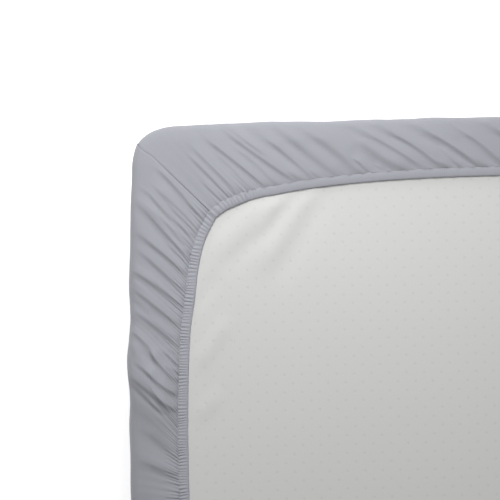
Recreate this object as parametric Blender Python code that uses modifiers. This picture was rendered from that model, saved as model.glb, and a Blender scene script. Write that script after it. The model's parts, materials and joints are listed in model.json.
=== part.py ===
"""A fitted sheet pulled over a single mattress, lying with its underside up.

The sheet's top panel is on the ground plane. Its sides go up round the mattress
and tuck in over the underside as a band that ends in an elastic hem casing.
X runs along the mattress, Y across it, +Z up, and the origin is the middle of
the resting face.
"""

from math import cos, radians, sin, sqrt

import bmesh
import bpy
import numpy as np

# Driving dimensions, in metres.
LENGTH = 2.000  # mattress, along X
WIDTH = 0.900  # mattress, along Y
HEIGHT = 0.180  # mattress, along Z
PAD_CORNER = 0.050  # mattress corner radius, seen from above
PAD_EDGE = 0.018  # rounding of the mattress's rims
CLOTH = 0.0015  # thickness of the sheet
SEAT = 0.0003  # between the mattress and the panel it lies on
CLEAR = 0.003  # between the mattress's sides and the cloth
BAND = 0.070  # how far the hem lies in from the sheet's side, away from the corners
CASING = 0.0135  # width of the elastic casing along the hem
CASING_RISE = 0.0042  # how far the puffed casing stands off the mattress
SKIM = 0.0010  # the hem edge above the mattress, and about the creases of the band

MM = 0.001

# The hem swings inwards round each corner. along: distance along the side from its
# corner. further: how much further in than BAND the hem lies there. The first rows are
# the corner's seam, which both kinds of side share.
HEM_CURVE = {
    "long": (
        # along further, millimetres
        (104.5, 40.5),
        (111, 35),
        (121, 30),
        (150, 20.5),
        (205, 11.5),
        (262, 6.5),
        (320, 3),
        (400, 0.5),
        (520, 0),
    ),
    "short": (
        (110.5, 34.5),
        (117, 29.5),
        (130, 24),
        (160, 16),
        (200, 9),
        (235, 4),
        (280, 1),
        (350, 0),
    ),
}

# One row for each main crease round a corner, going away from the corner's seam.
# hem and edge: where the crease starts at the hem and where it goes over the side,
# as distances along the side from the corner, so it leans towards the corner.
# rise: height of the fold that follows the crease. reach: how far out the fold
# stays full, from 0 at the hem to 1 at the side.
CREASES = {
    "long": (
        # hem edge rise reach, the first three in millimetres
        (133, 51, 2.6, 1.0),
        (172, 74, 3.2, 1.0),
        (214, 104, 4.6, 1.0),
        (233, 132, 2.2, 0.6),
        (263, 161, 3.4, 0.9),
        (289, 192, 2.8, 0.7),
        (340, 223, 4.0, 1.0),
        (368, 250, 3.0, 0.8),
        (396, 272, 5.2, 1.0),
        (437, 322, 4.8, 1.0),
        (468, 368, 3.4, 1.0),
    ),
    "short": (
        (129, 27, 2.6, 1.0),
        (152, 58, 3.0, 1.0),
        (172, 86, 3.0, 0.9),
        (193, 134, 2.6, 0.7),
        (224, 176, 3.6, 1.0),
        (249, 198, 2.4, 0.8),
        (275, 222, 3.6, 1.0),
        (318, 248, 5.0, 1.0),
        (342, 276, 4.2, 0.9),
        (374, 306, 4.4, 1.0),
    ),
}
MIDDLE_PITCH = {"long": 0.066, "short": 0.052}  # crease spacing between the tables' reach
MIDDLE_RISE = 0.0026

SEAM_RISE = 0.0022  # height of the fold that follows a corner seam
SHIFT = 0.005  # how far a crease moves from one corner to the next, to keep them uneven
MIDDLE_SHIFT = 0.18  # the same along the middle of a side, as a share of the pitch
FADED = 0.35  # what is left of a fold past its reach

# Lines that draw one fold, from the crease before it. share: how far on towards the
# next crease. height: share of the fold's rise.
FOLD = ((0, 0), (0.3, 0.86), (0.66, 1.0))
MIDDLE_FOLD = ((0, 0), (0.52, 1.0))

# The cloth's section from the hem out and down the side, one row for each line, with
# the share of a fold's rise that shows there.
SECTION = (
    ("hem edge", 0.10),
    ("casing crest", 0.22),
    ("stitch line", 0.30),
    ("inner band", 1.00),
    ("outer band", 0.90),
    ("rim", 0.62),
    ("top of side", 0.42),
)
LINES_ON = 3  # below the rim, away from the corners, each third line goes on down
PANEL_RIM = 0.015  # width of the ring round the resting panel

SHEET_GREY = (0.424, 0.429, 0.462)
TICKING_WHITE = (0.680, 0.680, 0.672)

PAD_LOW = CLOTH + SEAT
PAD_TOP = PAD_LOW + HEIGHT
HALF = {"long": LENGTH / 2 + CLEAR, "short": WIDTH / 2 + CLEAR}
CORNER = PAD_CORNER + CLEAR  # the sheet's corner radius, seen from above
RIM = PAD_EDGE + CLEAR  # rounding of the sheet over the mattress's upper rim
LOW_RIM = 0.012  # the sheet's tighter turn under the lower rim, onto the panel
ACROSS = {"long": "short", "short": "long"}
DIAGONAL = sin(radians(45))  # for the corner seams and the middle of each rounded rim


def material(name, colour, roughness):
    made = bpy.data.materials.new(name)
    made.use_nodes = True
    shader = made.node_tree.nodes["Principled BSDF"]
    shader.inputs["Base Color"].default_value = (*colour, 1)
    shader.inputs["Roughness"].default_value = roughness
    shader.inputs["Metallic"].default_value = 0
    return made


def through(points, x):
    """Height at x of the smooth curve through a short table of points."""
    xs, ys = np.array(points, float).T * MM
    if x >= xs[-1]:
        return ys[-1]
    slopes = np.gradient(ys, xs)
    i = max(int(np.searchsorted(xs, x, side="right")) - 1, 0)
    step = xs[i + 1] - xs[i]
    t = (x - xs[i]) / step
    return (
        (1 + 2 * t) * (1 - t) ** 2 * ys[i]
        + t * (1 - t) ** 2 * step * slopes[i]
        + t * t * (3 - 2 * t) * ys[i + 1]
        - t * t * (1 - t) * step * slopes[i + 1]
    )


def on_hem(side, along):
    """A hem point, as distances along the side from its middle and in from the side."""
    return along, BAND + through(HEM_CURVE[side], HALF[side] - abs(along))


def on_edge(side, along):
    """A point of the sheet's outline, round the corner's arc where it reaches that far."""
    past = max(0.0, CORNER - (HALF[side] - abs(along)))
    return along, CORNER - sqrt(CORNER**2 - past**2)


def uneven(number, corner):
    """A steady number from -1 to 1 that differs from fold to fold and corner to corner."""
    return sin(2.4 * number + 1.9 * corner) * cos(0.7 * number - corner)


def creases_from(side, corner):
    """One corner's creases along one side: hem, edge, rise and reach, hem and edge as
    distances from the corner. Corner 0 has the table as it stands."""
    table = CREASES[side]
    rows = []
    for number, (hem, edge, rise, reach) in enumerate(table):
        if corner:
            hem += SHIFT / MM * uneven(number, corner)
            rise = table[(number + 3 * corner) % len(table)][2]
        rows.append((hem * MM, edge * MM, rise * MM, reach))
    return rows


def side_creases(side, first_corner, second_corner):
    """All the creases of one side, from one corner's seam to the other's, with hem and
    edge measured from the middle of the side."""
    half = HALF[side]
    start = [
        (hem - half, edge - half, rise, reach)
        for hem, edge, rise, reach in creases_from(side, first_corner)
    ]
    end = [
        (half - hem, half - edge, rise, reach)
        for hem, edge, rise, reach in reversed(creases_from(side, second_corner))
    ]
    low, high = start[-1], end[0]
    count = round((high[0] - low[0]) / MIDDLE_PITCH[side]) - 1
    middle = []
    for number in range(1, count + 1):
        share = (number + MIDDLE_SHIFT * uneven(number, first_corner)) / (count + 1)
        hem = low[0] + share * (high[0] - low[0])
        edge = low[1] + share * (high[1] - low[1])
        rise = MIDDLE_RISE * (1 + 0.5 * uneven(2 * number, second_corner))
        middle.append((hem, edge, rise, 1.0))
    seam_hem = half - HEM_CURVE[side][0][0] * MM
    seam_edge = half - CORNER * (1 - DIAGONAL)
    seam = (-seam_hem, -seam_edge, SEAM_RISE, 1.0)
    return [seam, *start, *middle, *end, (seam_hem, seam_edge, 0.0, 1.0)]


def fold_lines(side, first_corner, second_corner):
    """Lines across the band for one side: each crease, and the lines up and over the
    fold that follows it. Heights are 0 in a crease. The last seam is left to the next side."""
    creases = side_creases(side, first_corner, second_corner)
    table_end = HALF[side] - CREASES[side][-1][0] * MM
    lines = []
    for now, after in zip(creases, creases[1:]):
        in_middle = abs(now[0]) < table_end and abs(after[0]) < table_end
        for share, height in MIDDLE_FOLD if in_middle else FOLD:
            hem = now[0] + share * (after[0] - now[0])
            edge = now[1] + share * (after[1] - now[1])
            lines.append((side, hem, edge, now[2] * height, now[3]))
    return lines


def plan(side, turn, along, inset):
    """A side's own coordinates as X and Y. turn is 1 for the +Y and +X sides, -1 for the
    others; the lines run clockwise seen from above."""
    out = HALF[ACROSS[side]] - inset
    return (turn * along, turn * out) if side == "long" else (turn * out, -turn * along)


def bend(x, y):
    """The centre that the outline turns about near a point: a corner's, or beside it."""
    return np.array(
        [
            np.clip(x, CORNER - HALF["long"], HALF["long"] - CORNER),
            np.clip(y, CORNER - HALF["short"], HALF["short"] - CORNER),
        ]
    )


def section(line, turn):
    """One line's points from the hem out and down to the top of the side."""
    side, hem, edge, rise, reach = line
    width = on_hem(side, hem)[1]
    start = np.array(plan(side, turn, *on_hem(side, hem)))
    end = np.array(plan(side, turn, *on_edge(side, edge)))
    normal = (end - bend(*end)) / CORNER
    turned = RIM * (1 - DIAGONAL)
    spots = {
        # name: distance from the hem, height over the mattress, how far the cloth faces out
        "hem edge": (0, SKIM, 0),
        "casing crest": (CASING / 2, CASING_RISE, 0),
        "stitch line": (CASING, 1.5 * SKIM, 0),
        "inner band": ((CASING + width - RIM) / 2, 2 * SKIM, 0),
        "outer band": (width - RIM, CLEAR, 0),
        "rim": (width - turned, CLEAR - turned, DIAGONAL),
        "top of side": (width, CLEAR - RIM, 1),
    }
    points = []
    for name, share in SECTION:
        distance, height, out = spots[name]
        across = distance / width
        full = 1 if across <= reach else max(FADED, 1 - 2 * (across - reach))
        fold = rise * share * full
        spot = start + (end - start) * across + normal * fold * out
        points.append((*spot, PAD_TOP + height + fold * sqrt(1 - out * out)))
    return points


def ring(points, inset, height):
    """The outline's points pulled in and set at a height, for the lines under the rim."""
    made = []
    for x, y in points:
        centre = bend(x, y)
        spot = centre + (np.array((x, y)) - centre) * (1 - inset / CORNER)
        made.append((*spot, height))
    return made


def lofted(mesh, upper, lower, kept):
    """Faces between a ring and the one below it. kept lists the upper ring's numbers that
    the lower ring goes on from."""
    count = len(upper)
    for n, first in enumerate(kept):
        last = kept[(n + 1) % len(kept)]
        span = (last - first) % count or count
        a, b = lower[n], lower[(n + 1) % len(kept)]
        middle = span // 2
        for step in range(span):
            one, two = upper[(first + step) % count], upper[(first + step + 1) % count]
            if span == 1:
                mesh.faces.new((one, two, b, a))
            else:
                mesh.faces.new((one, two, a if step < middle else b))
        if span > 1:
            mesh.faces.new((upper[(first + middle) % count], b, a))


def fitted_sheet():
    """The cloth as one open surface from the hem to the resting panel, then thickened
    outwards."""
    sides = (("long", 1, 0, 1), ("short", 1, 1, 2), ("long", -1, 2, 3), ("short", -1, 3, 0))
    lines = []
    outline = []
    for side, turn, first, second in sides:
        for line in fold_lines(side, first, second):
            lines.append(section(line, turn))
            outline.append(plan(side, turn, *on_edge(side, line[2])))

    bend_x, bend_y = HALF["long"] - CORNER, HALF["short"] - CORNER
    in_arc = [abs(x) > bend_x and abs(y) > bend_y for x, y in outline]
    kept = [n for n in range(len(lines)) if in_arc[n] or n % LINES_ON == 0]
    low = [outline[n] for n in kept]
    turned = LOW_RIM * (1 - DIAGONAL)

    mesh = bmesh.new()
    rings = [[mesh.verts.new(line[row]) for line in lines] for row in range(len(SECTION))]
    whole = list(range(len(lines)))
    for upper, lower in zip(rings, rings[1:]):
        lofted(mesh, upper, lower, whole)

    below = [
        ring(low, 0, CLOTH + LOW_RIM),
        ring(low, turned, CLOTH + turned),
        ring(low, LOW_RIM, CLOTH),
    ]
    upper, on = rings[-1], kept
    for points in below:
        lower = [mesh.verts.new(point) for point in points]
        lofted(mesh, upper, lower, on)
        upper, on = lower, list(range(len(low)))
    few = list(range(0, len(low), LINES_ON))
    panel = ring([low[n] for n in few], LOW_RIM + PANEL_RIM, CLOTH)
    lower = [mesh.verts.new(point) for point in panel]
    lofted(mesh, upper, lower, few)
    mesh.faces.new(lower)

    return finished(mesh, "fitted_sheet", thicken=True)


def mattress():
    """A plain rounded block: upright corners first, then the rims."""
    mesh = bmesh.new()
    bmesh.ops.create_cube(mesh, size=1)
    bmesh.ops.scale(mesh, vec=(LENGTH, WIDTH, HEIGHT), verts=mesh.verts)
    bmesh.ops.translate(mesh, vec=(0, 0, PAD_LOW + HEIGHT / 2), verts=mesh.verts)
    upright = [e for e in mesh.edges if abs(e.verts[0].co.z - e.verts[1].co.z) > HEIGHT / 2]
    bmesh.ops.bevel(
        mesh,
        geom=upright,
        affect="EDGES",
        offset=PAD_CORNER,
        offset_type="OFFSET",
        segments=8,
        profile=0.5,
        material=-1,
    )
    pad = finished(mesh, "mattress", thicken=False)
    rims = pad.modifiers.new("rims", "BEVEL")
    rims.width = PAD_EDGE
    rims.segments = 4
    rims.limit_method = "ANGLE"
    rims.angle_limit = radians(60)
    return pad


def finished(mesh, name, thicken):
    data = bpy.data.meshes.new(name)
    mesh.to_mesh(data)
    mesh.free()
    made = bpy.data.objects.new(name, data)
    collection.objects.link(made)
    data.shade_smooth()
    if thicken:
        shell = made.modifiers.new("cloth", "SOLIDIFY")
        shell.thickness = CLOTH
        shell.offset = 1
        shell.use_even_offset = True
    return made


for old in list(bpy.data.objects):
    bpy.data.objects.remove(old, do_unlink=True)
collection = bpy.data.collections.new("fitted sheet on a mattress")
bpy.context.scene.collection.children.link(collection)

sheet = fitted_sheet()
sheet.data.materials.append(material("sheet cotton", SHEET_GREY, 0.75))
pad = mattress()
pad.data.materials.append(material("ticking", TICKING_WHITE, 0.85))
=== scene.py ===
# %% [markdown]
# # A fitted sheet on a single mattress, lying with its underside up
# The part has two things in it: a plain mattress, and a cotton sheet that is pulled
# over it like a cap. We look at the underside, where the sheet comes over the rim as a
# band and ends in a hem with elastic in it. The cloth is taut, and the elastic pulls it
# into creases that lean towards each corner.
#
# Every piece but the mattress is made flat first, as a grid, and each point of the grid
# is then sent to its place in space. That is how a sheet is made too: cut flat, then
# pulled to shape.

import json
from math import cos, pi, radians, sin, sqrt

import bmesh
import bpy
import numpy as np
from mathutils import Matrix, Vector

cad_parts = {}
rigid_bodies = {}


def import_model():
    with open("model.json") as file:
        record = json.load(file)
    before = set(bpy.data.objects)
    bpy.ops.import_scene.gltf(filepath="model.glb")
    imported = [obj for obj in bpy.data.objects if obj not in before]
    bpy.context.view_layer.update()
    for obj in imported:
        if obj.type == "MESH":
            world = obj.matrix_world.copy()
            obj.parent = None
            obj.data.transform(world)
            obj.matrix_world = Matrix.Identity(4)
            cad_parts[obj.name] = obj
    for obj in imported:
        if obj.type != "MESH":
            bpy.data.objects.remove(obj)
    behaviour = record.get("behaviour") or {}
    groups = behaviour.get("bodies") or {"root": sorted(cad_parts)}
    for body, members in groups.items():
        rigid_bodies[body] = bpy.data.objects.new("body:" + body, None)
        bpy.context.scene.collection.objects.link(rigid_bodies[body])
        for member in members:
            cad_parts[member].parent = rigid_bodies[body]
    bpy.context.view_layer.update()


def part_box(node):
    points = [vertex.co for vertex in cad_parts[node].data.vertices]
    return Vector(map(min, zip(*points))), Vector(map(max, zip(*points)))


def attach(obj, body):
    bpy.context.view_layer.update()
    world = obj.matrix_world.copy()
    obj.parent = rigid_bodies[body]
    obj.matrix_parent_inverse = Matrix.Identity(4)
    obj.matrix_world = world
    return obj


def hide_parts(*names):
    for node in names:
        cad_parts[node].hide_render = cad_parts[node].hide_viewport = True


for old in list(bpy.data.objects):
    bpy.data.objects.remove(old, do_unlink=True)
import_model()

# %% [markdown]
# ## Sizes
# The mattress gives the sizes. The cloth lies a few millimetres off its sides, and turns
# round its rim and its upright corners. The sizes below are those of its outer face.

# %%
MM = 0.001
pad_low, pad_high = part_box("mattress")
CLEAR = 3 * MM  # between the mattress's sides and the cloth
CLOTH = 1.5 * MM  # thickness of the cloth
HALF_LONG = pad_high.x + CLEAR + CLOTH
HALF_SHORT = pad_high.y + CLEAR + CLOTH
HALF = {"long": HALF_LONG, "short": HALF_SHORT}
ACROSS = {"long": "short", "short": "long"}
CORNER = 50 * MM + CLEAR + CLOTH  # corner radius seen from above
RIM = 18 * MM + CLEAR + CLOTH  # rounding over the upper rim
LOW_RIM = 13.5 * MM  # the tighter turn under the lower rim
TOP = pad_high.z + CLEAR + CLOTH  # the cloth over the rim
SWELL = 6 * MM  # the elastic draws the corners in, so the sides stand out between them
print("cloth half sizes", round(HALF_LONG, 4), round(HALF_SHORT, 4), "top", round(TOP, 4))

# %% [markdown]
# ## The hem's line
# The hem runs along each side and swings inwards round each corner. The table gives how
# much further in than the straight hem it lies, going along the side from its corner.
# A smooth curve goes through the few points, because an elastic hem has no kinks. A
# second pair of tables says how far the cloth stands off the plain sides, as it does in
# the photograph's outline.

# %%
BAND = {"long": 71.6 * MM, "short": 68 * MM}  # how far in the straight hem lies
HEM_CURVE = {  # along the side from its corner, and further in; millimetres
    "long": ((102, 44.4), (108, 39.6), (114, 35.5), (126, 30.0), (150, 21.6), (178, 16.8),
             (205, 12.2), (233, 9), (290, 4.2), (346, 1.6), (405, 0.3), (460, 0), (1100, 0)),
    "short": ((116, 34), (125, 29.4), (138, 23.0), (151, 18.4), (179, 12.5), (206, 9.4),
              (235, 5.4), (250, 3.4), (270, 2.0), (295, 1.0), (330, 0), (500, 0)),
}
SEAM = {kind: HEM_CURVE[kind][0][0] * MM for kind in HALF}  # where a corner's seam starts
SEAM_BLEND = 30 * MM  # the casing's cross lines turn to the seam's slant over this length
DIAGONAL = sin(radians(45))
SEAM_TURN = radians(57)  # where the seam goes over the round corner, from the long side
SEAM_EDGE = {"long": CORNER * (1 - SEAM_TURN), "short": CORNER * (1 - (pi / 2 - SEAM_TURN))}
STAND = {  # how far the cloth stands off the plain corner and side; along from the corner
    "long": ((0.3, 2.9), (6, 3.0), (14, 1.8), (23, 0), (32, -2.4), (42, -4.4), (50, -5.2),
             (61, -4.4), (75, -2.9), (109, -2.8), (133, -2.9), (157, -0.4), (170, 0),
             (190, -0.7), (220, -1.2), (250, 0), (300, -0.3), (325, -0.6), (385, -0.7),
             (440, -0.2), (500, 0), (1100, 0)),
    "short": ((23, 2.9), (29, 1.3), (34, 0), (40, -0.9), (48, -1.4), (60, -1.0), (83, -0.6),
              (114, -1.4), (150, -0.4), (200, 0.5), (240, 0.6), (262, 1.5), (283, 3.9),
              (303, 3.2), (320, 1.0), (335, 0), (360, 0), (500, 0)),
}


def smooth(x, low, high):
    """From 0 at low to 1 at high, with soft ends."""
    share = np.clip((x - low) / (high - low), 0, 1)
    return share * share * (3 - 2 * share)


def bell(x):
    """1 at 0, and almost nothing from 2 on."""
    return np.exp(-(x**2))


def between(low, high, wave):
    """Turns a wave that goes from -1 to 1 into one from low to high."""
    return (low + high) / 2 + (high - low) / 2 * wave


def through(points, x):
    """Heights at x of the smooth curve through a short table of points."""
    xs, ys = np.array(points, float).T * MM
    slopes = np.gradient(ys, xs)
    x = np.clip(x, xs[0], xs[-1])
    i = np.clip(np.searchsorted(xs, x, side="right") - 1, 0, len(xs) - 2)
    step = xs[i + 1] - xs[i]
    t = (x - xs[i]) / step
    return (
        (1 + 2 * t) * (1 - t) ** 2 * ys[i]
        + t * (1 - t) ** 2 * step * slopes[i]
        + t * t * (3 - 2 * t) * ys[i + 1]
        - t * t * (1 - t) * step * slopes[i + 1]
    )


def hem_line(kind, away):
    """How far in from its side the hem lies, and how steeply it swings in."""
    inset = BAND[kind] + through(HEM_CURVE[kind], away)
    rise = through(HEM_CURVE[kind], away + MM) - through(HEM_CURVE[kind], away - MM)
    return inset, rise / (2 * MM)


def hem_point(kind, hem, outwards):
    """A point beside the hem's line, that far outwards from it: how far from the side's
    corner it is, and how far in from the side."""
    away = HALF[kind] - np.abs(hem)
    inset, slope = hem_line(kind, away)
    size = np.sqrt(1 + slope**2)
    towards, out = slope / size, -1 / size
    at_seam = 1 - smooth(away, SEAM[kind], SEAM[kind] + SEAM_BLEND)
    towards = towards + at_seam * (-DIAGONAL - towards)
    out = out + at_seam * (-DIAGONAL - out)
    return away + towards * outwards, inset + out * outwards


def plan(kind, turn, along, inset):
    """A side's own measures as X and Y. The sides run clockwise seen from above."""
    out = HALF[ACROSS[kind]] - inset
    return (turn * along, turn * out) if kind == "long" else (turn * out, -turn * along)


def swollen(x, y):
    """The sides stand out a little between the corners."""
    wide = x * (1 + SWELL / HALF_LONG * np.cos(pi / 2 * y / HALF_SHORT))
    deep = y * (1 + SWELL / HALF_SHORT * np.cos(pi / 2 * x / HALF_LONG))
    return wide, deep


# %% [markdown]
# ## Where the elastic is
# Elastic runs along both short ends and a little way round each corner, to a join that
# shows on the casing. A little of the gathering runs on past it and dies out, and the
# rest of the hem is plain. No two real gathers are alike. So the wave that makes them is
# hurried and held back by slower waves, and its height comes and goes.

# %%
ELASTIC_END = 143 * MM  # the join, along a long side from its corner
JOIN_SOFT = 2 * MM
LEFT_OVER = 0.3  # how much of the gathering is left past the join,
RUN_OUT = 52 * MM  # and where it has run out
WIDE_CASING = 10.2 * MM
PLAIN_CASING = 9.6 * MM
CASING_TAPER = 12 * MM
GATHER = 3.5 * MM  # from one small gather to the next
WIDER_FROM = 320 * MM  # nearer than this to a corner the gathers are wider,
WIDER = 113  # losing this many for each square metre
HURRIED = ((0.26, 5.1 * MM), (0.09, 1.9 * MM))  # by what share of a gather, how often
HIGHER = 7.3 * MM  # how often they are higher


def elastic(kind, hem, soft=JOIN_SOFT):
    """How strongly the hem is gathered, from 1 down to 0."""
    if kind == "short":
        return np.ones_like(hem)
    past = HALF[kind] - np.abs(hem) - ELASTIC_END
    return 1 - (1 - LEFT_OVER) * smooth(past, 0, soft) - LEFT_OVER * smooth(past, 0, RUN_OUT)


def casing_width(kind, hem):
    return PLAIN_CASING + (WIDE_CASING - PLAIN_CASING) * elastic(kind, hem, CASING_TAPER)


def gathers(kind, hem):
    """The small gathers as a wave along the hem, from -1 to 1."""
    far = np.abs(hem)
    near_corner = np.maximum(far - (HALF[kind] - WIDER_FROM), 0)
    turns = far / GATHER - WIDER * near_corner**2
    for share, length in HURRIED:
        turns = turns + share * np.sin(hem / length)
    return np.cos(2 * pi * turns) * between(0.5, 1, np.sin(hem / HIGHER))


# %% [markdown]
# ## Columns of the cloth
# The creases lean, so the columns of the grid lean with them: a column starts at the hem
# and goes over the side nearer to the corner. The table pairs those two places.

# %%
LEAN = {  # along the side from its corner: at the hem, and at the rim; millimetres
    "long": ((134, 70), (173, 100), (215, 140), (264, 191), (341, 266),
             (397, 320), (469, 400)),
    "short": ((132, 56), (153, 82), (173, 110), (225, 186), (276, 239),
              (319, 275), (370, 329)),
}
FIRST_STEPS = (0, 1.2, 3.6)  # narrow columns beside a corner's seam
COLUMN = 4.4 * MM
MIDDLE_COLUMN = 7.5 * MM
MIDDLE_FROM = 550 * MM  # from the corner; the columns are wider beyond


def columns(kind):
    """Each column's two ends, at the hem and over the side, from the side's middle."""
    half = HALF[kind]
    corner_end = (SEAM[kind] / MM, SEAM_EDGE[kind] / MM)
    hems, edges = np.array([corner_end, *LEAN[kind], (half / MM, half / MM)]).T * MM
    middles = (hems + edges) / 2
    start = middles[0] + FIRST_STEPS[-1] * MM
    wide_from = min(MIDDLE_FROM, half)
    near = round((wide_from - start) / COLUMN)
    spots = [middles[0] + step * MM for step in FIRST_STEPS[:-1]]
    spots += list(np.linspace(start, wide_from, near + 1))
    if wide_from < half:
        far = round((half - wide_from) / MIDDLE_COLUMN)
        spots += list(np.linspace(wide_from, half, far + 1)[1:])
    hem = np.interp(spots, middles, hems) - half
    edge = np.interp(spots, middles, edges) - half
    return np.array([*hem, *-hem[-2::-1]]), np.array([*edge, *-edge[-2::-1]])


SIDES = (  # kind, which way it faces, and the corner that it starts from
    ("long", 1, 0),
    ("short", 1, 1),
    ("long", -1, 2),
    ("short", -1, 3),
)
HEMS = {kind: columns(kind)[0] for kind in HALF}
EDGES = {kind: columns(kind)[1] for kind in HALF}


def each_side(column, columns_of):
    """For each side in turn: what it is, which of the points are its own, and the column
    of each of those, counted from the side's first."""
    first = 0
    for kind, turn, corner in SIDES:
        last = first + len(columns_of[kind]) - 1
        mine = (column >= first) & (column <= last)
        yield kind, turn, corner, mine, column[mine] - first
        first = last


def count_round(columns_of):
    return sum(len(columns_of[kind]) - 1 for kind, _, _ in SIDES)


ROUND = count_round(HEMS)
print("columns round the sheet", ROUND)

# %% [markdown]
# ## Creases, one by one
# A crease in taut cotton isn't a wave. It has a sharp edge, the cloth falls steeply
# beside that and takes much longer to come back, and between two creases it is nearly
# flat. Each row is one crease of the corner in the photograph. The ends and bows of most
# rows were worked out by a separate script, from places picked by eye on the photograph.
# The depths and widths were judged. The other corners have the same ones, a little moved.
# Along the middle of each side they stand further apart, and lean less and less.

# %%
CREASES = {"long": (
    # outer end: along the side from its corner, in from the side; then the end at the
    # hem; how far the middle bows to the sharp edge's side; depth; width. Millimetres.
    (68, 39, 118, 92, 1, 2.4, 6),
    (83, 71, 106, 94, 0, 2.0, 4),
    (71, 27, 125, 82, 0, 2.4, 6),
    (100, 37, 142, 80, 2, 1.7, 6),
    (89, 20, 163, 81, 1, 3.8, 6),
    (121, 30, 172, 75, 3, 2.0, 6),
    (113, 12, 196, 73, -1, 4.4, 7),
    (122, 10, 157, 38, -1, 1.6, 4),
    (163, 22, 218, 70, 1, 3.6, 7),
    (184, 16, 250, 69, -1, 5.6, 10),
    (190, 63, 203, 72, 0, 2.2, 3.5),
    (217, 63, 228, 72, 0, 2.4, 4),
    (211, 15, 276, 67, 3, 7.0, 11),
    (269, 49, 285, 64, 1, 3.4, 4),
    (296, 57, 303, 63, 0, 2.0, 4),
    (271, 22, 330, 64, -3, 7.6, 12),
    (256, 5, 350, 60, 3, 4.6, 8),
    (278, 4, 376, 62, 6, 6.0, 8),
    (373, 54, 382, 62, 0, 2.6, 3.5),
    (334, 8, 421, 62, 5, 5.8, 8),
    (375, 38, 396, 60, 0, 3.4, 4),
    (395, 16, 447, 57, 3, 5.4, 8),
    (419, 6, 487, 58, 6, 5.8, 8),
), "short": (
    (44, 31, 115, 86, 0, 3.2, 8),
    (96, 70, 120, 84, 1, 1.6, 4),
    (74, 25, 129, 81, 2, 3.0, 7),
    (78, 18, 139, 77, -3, 3.6, 7),
    (92, 7, 163, 68, 0, 4.8, 7),
    (97, 16, 147, 73, 0, 1.8, 3.5),
    (118, 40, 152, 72, 0, 1.6, 3),
    (98, 44, 134, 80, 0, 1.6, 3),
    (146, 44, 170, 68, 0, 1.6, 3),
    (102, 19, 152, 72, -1, 1.6, 4),
    (151, 63, 160, 71, 0, 1.6, 4),
    (133, 7, 182, 65, 2, 4.4, 6),
    (153, 11, 203, 64, 0, 4.0, 8),
    (177, 3, 221, 61, 2, 4.4, 7),
    (193, 7, 203, 16, 0, 3.0, 8),
    (198, 3, 246, 61, 0, 4.6, 8),
    (211, 7, 229, 22, 0, 2.0, 4),
    (235, 26, 261, 56, -1, 1.2, 4),
    (226, 7, 270, 58, 1, 4.6, 7),
    (250, 3, 287, 31, 4, 4.4, 7),
    (272, 22, 311, 57, -2, 6.0, 8),
    (272, 37, 291, 57, 0, 2.6, 5),
    (271, 49, 279, 56, 0, 2.2, 4),
    (293, 44, 300, 56, 0, 2.4, 4),
    (264, 5, 303, 24, -2, 4.6, 6),
    (295, 18, 327, 57, -3, 7.0, 8),
    (300, 2, 346, 56, -3, 6.4, 8),
    (309, 4, 345, 36, -2, 3.6, 4.5),
)}
WALL_CREASES = (  # from each corner, down the sides
    (92, -30, 34, -104, 3, 3.6, 6),
    (128, -44, 60, -150, 4, 2.8, 5),
    (170, -36, 82, -140, 5, 4.4, 8),
    (268, -32, 176, -96, -4, 3.4, 6),
    (330, -60, 262, -150, 3, 4.0, 8),
)
SHIFT = 5  # how far a crease moves from one corner to the next, in mm,
HEM_SHIFT = 0.6  # the share of it at the hem,
DEEPER = 0.35  # and the share by which its depth changes
MIDDLE_PITCH = {"long": 44, "short": 30}  # the creases beyond the tables, all in mm
MIDDLE_START = 24  # past the table's last
MIDDLE_MOVED = 9
MIDDLE_LEAN = (62, 14)  # at the ends of the run, and how much it varies
MIDDLE_OUTER = (15, 9)  # how far in the outer end is, and how much that varies
MIDDLE_INNER = 60
MIDDLE_BOW = 2
MIDDLE_DEPTH = (3.2, 1.4)
MIDDLE_WIDTH = (8, 2)


def uneven(number, corner):
    """A steady number from -1 to 1 that differs from crease to crease."""
    return sin(2.4 * number + 1.9 * corner) * cos(0.7 * number - corner)


def varied(usual, by, number, corner):
    return usual + by * uneven(number, corner)


def corner_creases(kind, corner, end):
    """One corner's creases along the side that ends there, at its -1 or its 1 end.
    Corner 0 has the table as it stands."""
    half = HALF[kind] / MM
    rows = []
    for number, row in enumerate(CREASES[kind] + WALL_CREASES):
        a, a_in, b, b_in, bow, depth, width = row
        if corner:
            moved = varied(0, SHIFT, number, corner)
            a, b = a + moved, b + moved * HEM_SHIFT
            depth *= varied(1, DEEPER, number + 5, corner)
        rows.append((end * (half - a), a_in, end * (half - b), b_in, bow, depth, width))
    return rows


def middle_creases(kind, corner):
    start = max(row[2] for row in CREASES[kind]) + MIDDLE_START - HALF[kind] / MM
    count = max(1, round(-2 * start / MIDDLE_PITCH[kind]))
    rows = []
    for number in range(count + 1):
        way = 1 - 2 * number / count
        hem = varied(start * way, MIDDLE_MOVED, number, corner)
        usual, by = MIDDLE_LEAN
        leant = varied(usual * way, by, number + 3, corner)
        outer = varied(*MIDDLE_OUTER, number + 7, corner)
        bow = varied(0, MIDDLE_BOW, number, 4)
        depth = varied(*MIDDLE_DEPTH, 2 * number, corner + 1)
        width = varied(*MIDDLE_WIDTH, number, corner + 2)
        rows.append((hem - leant, outer, hem, MIDDLE_INNER, bow, depth, width))
    return rows


def side_creases(kind, corner):
    """All the creases of a side: two ends in millimetres, measured along the side from
    its middle and in from it, then bow, depth and width."""
    far_end = corner_creases(kind, (corner + 1) % 4, 1)
    return corner_creases(kind, corner, -1) + far_end + middle_creases(kind, corner)


# %% [markdown]
# ## The shape of one crease
# Across a crease the cloth falls from its edge and comes back. Along it, it is full soon
# after the outer end and fades out past the hem's end.

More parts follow.
